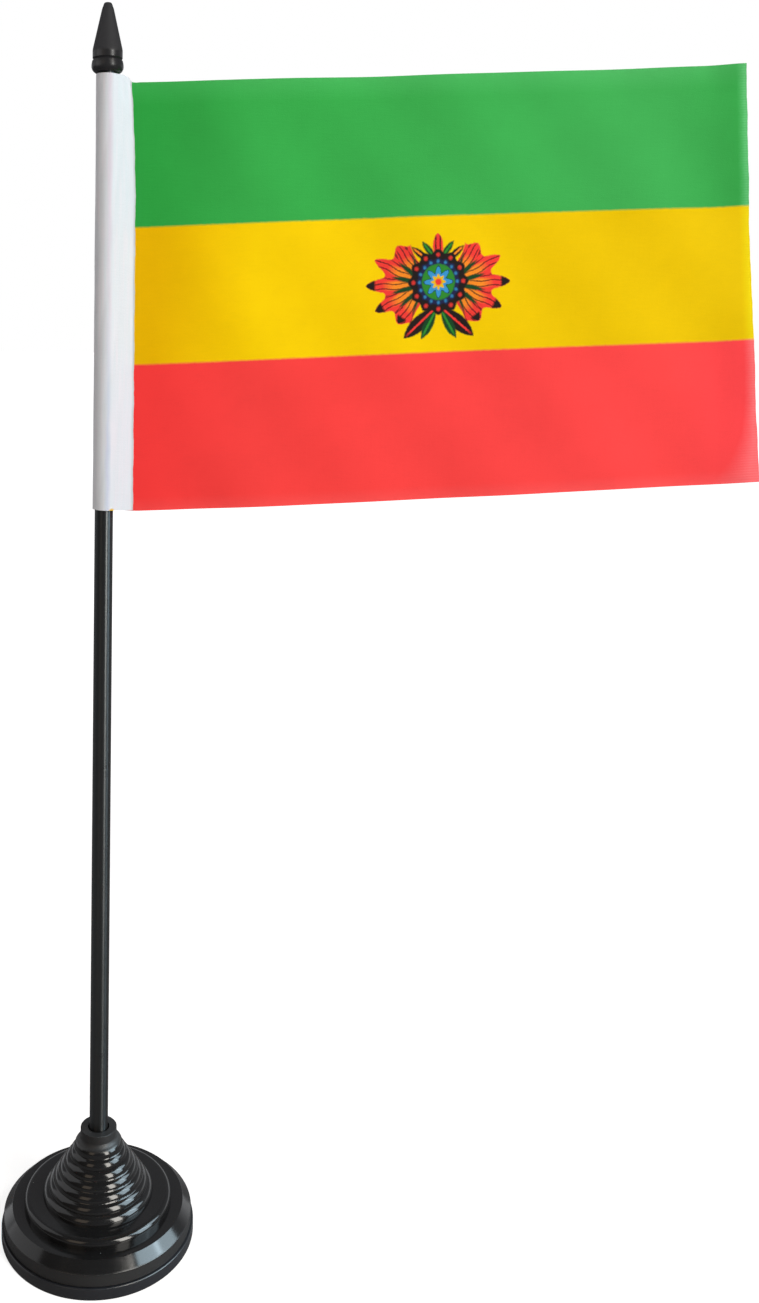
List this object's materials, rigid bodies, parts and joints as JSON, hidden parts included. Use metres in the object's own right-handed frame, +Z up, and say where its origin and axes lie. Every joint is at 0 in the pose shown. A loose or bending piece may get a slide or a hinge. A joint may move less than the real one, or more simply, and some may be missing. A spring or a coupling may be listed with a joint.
{
  "type": "desk flag stand",
  "caption": "Small tabletop flag stand: weighted round base with stacked beads, thin upright pole with a spear tip, and a rectangular striped cloth flag held by a sleeve.",
  "frame": {"origin": "centre of the underside that the stand rests on, on the pole's axis", "axes": "+Z up along the pole towards the spear tip; +X towards the fly edge of the flag; the flag's front faces -Y"},
  "size_m": [0.1791, 0.0444, 0.2857],
  "materials": {
    "base_plastic": "gloss",
    "cover_plastic": "satin",
    "weight_steel": "satin",
    "pole_plastic": "satin",
    "finial_plastic": "satin",
    "flag_fabric": "satin"
  },
  "bodies": {
    "base": {"base_shell": "base_plastic", "bottom_cover": "cover_plastic", "base_weight": "weight_steel"},
    "pole": {"pole": "pole_plastic"},
    "finial": {"finial": "finial_plastic"},
    "flag": {"flag_cloth": "flag_fabric"}
  },
  "joints": [
    {"name": "pole_lift", "type": "slide", "parent": "base", "child": "pole", "axis": [0, 0, 1], "range_m": [0, 0.02]},
    {"name": "finial_pull", "type": "slide", "parent": "pole", "child": "finial", "axis": [0, 0, 1], "range_m": [0, 0.01]},
    {"name": "flag_turn", "type": "hinge", "parent": "pole", "child": "flag", "pos_m": [0, 0, 0.218], "axis": [0, 0, 1], "continuous": true}
  ]
}
